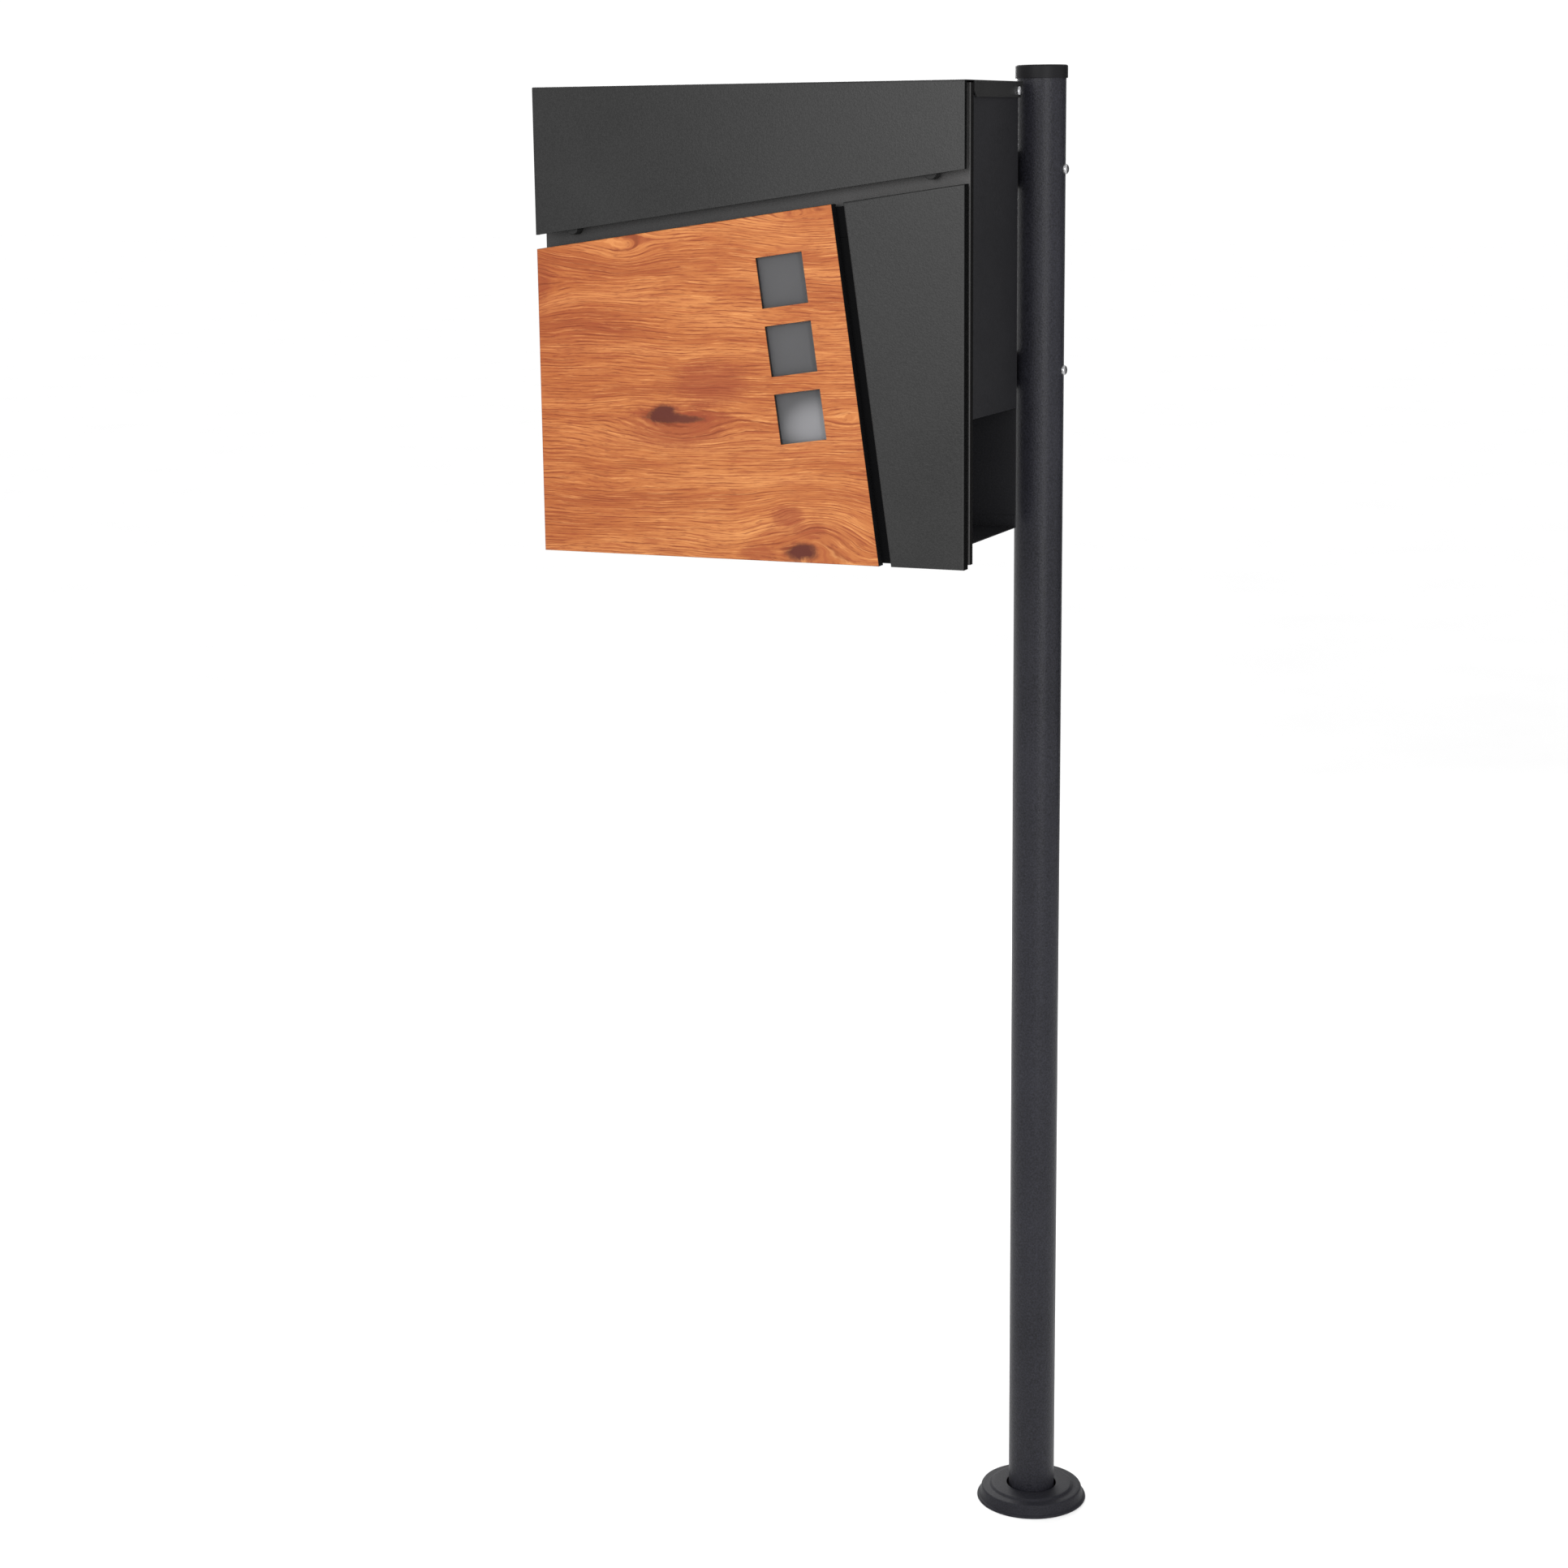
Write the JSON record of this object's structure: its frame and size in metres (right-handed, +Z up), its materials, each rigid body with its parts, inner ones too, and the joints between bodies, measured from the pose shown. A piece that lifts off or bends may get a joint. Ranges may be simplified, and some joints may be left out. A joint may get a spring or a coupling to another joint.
{
  "type": "letterbox",
  "caption": "Free-standing letterbox on one round pole, with a hinged lid and slanted flap, a lockable wood-look door with small windows and an open newspaper compartment.",
  "frame": {"origin": "centre of the pole's foot on the ground, which is the centre of the base bolt circle", "axes": "+X to the right seen from the front, +Y to the back, +Z up along the pole; the front faces -Y"},
  "size_m": [0.4287, 0.207, 1.24],
  "materials": {
    "fascia_paint": "fine matt powder coat, dark anthracite grey",
    "cabinet_paint": "fine matt powder coat, dark anthracite grey",
    "pole_paint": "fine-textured satin powder coat, dark blue-grey",
    "cap_plastic": "black moulded plastic, fine grain",
    "wood_film": "folded steel sheet with a satin wood-grain finish in warm brown",
    "zinc_steel": "bright zinc plating, slightly dull",
    "bright_steel": "bright stainless steel",
    "lock_chrome": "bright chrome plating",
    "black_rubber": "matt black rubber",
    "frosted_acrylic": "frosted translucent acrylic, smoke grey",
    "black_nylon": "matt black nylon",
    "white_nylon": "natural white nylon"
  },
  "bodies": {
    "cabinet_and_pole": {"pole": "pole_paint", "pole_cap": "cap_plastic", "base_flange": "zinc_steel", "mounting_brackets": "cabinet_paint", "pole_spacers": "black_nylon", "pole_screws": "bright_steel", "pole_nuts": "zinc_steel", "wall_screws": "bright_steel", "wall_nuts": "zinc_steel", "back_panel": "cabinet_paint", "side_wall_left": "cabinet_paint", "side_wall_right": "cabinet_paint", "top_plate": "cabinet_paint", "letter_shelf": "cabinet_paint", "newspaper_tray": "cabinet_paint", "front_frame": "fascia_paint", "bumpers": "black_rubber", "hinge_frame_leaves": "zinc_steel", "hinge_pins": "bright_steel", "hinge_frame_rivets": "zinc_steel", "lock_housing": "lock_chrome", "lock_nut": "zinc_steel", "lid_pivot_screws": "bright_steel", "lid_pivot_bushes": "white_nylon", "lid_pivot_nuts": "zinc_steel"},
    "door": {"door_plate": "cabinet_paint", "wood_panel": "wood_film", "side_panel": "fascia_paint", "window_gasket": "black_rubber", "window_pane": "frosted_acrylic", "panel_studs": "zinc_steel", "panel_nuts": "zinc_steel", "hinge_door_leaves": "zinc_steel", "hinge_door_rivets": "zinc_steel", "lock_keeper": "zinc_steel", "keeper_rivets": "zinc_steel"},
    "lock_barrel": {"lock_plug": "lock_chrome", "lock_cam": "zinc_steel", "cam_screw": "bright_steel"},
    "lid_and_flap": {"lid": "fascia_paint"},
    "base_cover_ring": {"base_cover": "pole_paint"}
  },
  "joints": [
    {"name": "door_hinge", "type": "hinge", "parent": "cabinet_and_pole", "child": "door", "pos_m": [-0.3754, -0.1456, 0.977], "axis": [0, 0, -1], "range_deg": [0, 95]},
    {"name": "lock_turn", "type": "hinge", "parent": "cabinet_and_pole", "child": "lock_barrel", "pos_m": [-0.228, -0.139, 1.1455], "axis": [0, 1, 0], "range_deg": [0, 90]},
    {"name": "lid_hinge", "type": "hinge", "parent": "cabinet_and_pole", "child": "lid_and_flap", "pos_m": [-0.193, -0.034, 1.2195], "axis": [-1, 0, 0], "range_deg": [0, 75]},
    {"name": "base_cover_slide", "type": "slide", "parent": "cabinet_and_pole", "child": "base_cover_ring", "axis": [0, 0, 1], "range_m": [0, 0.84]}
  ]
}
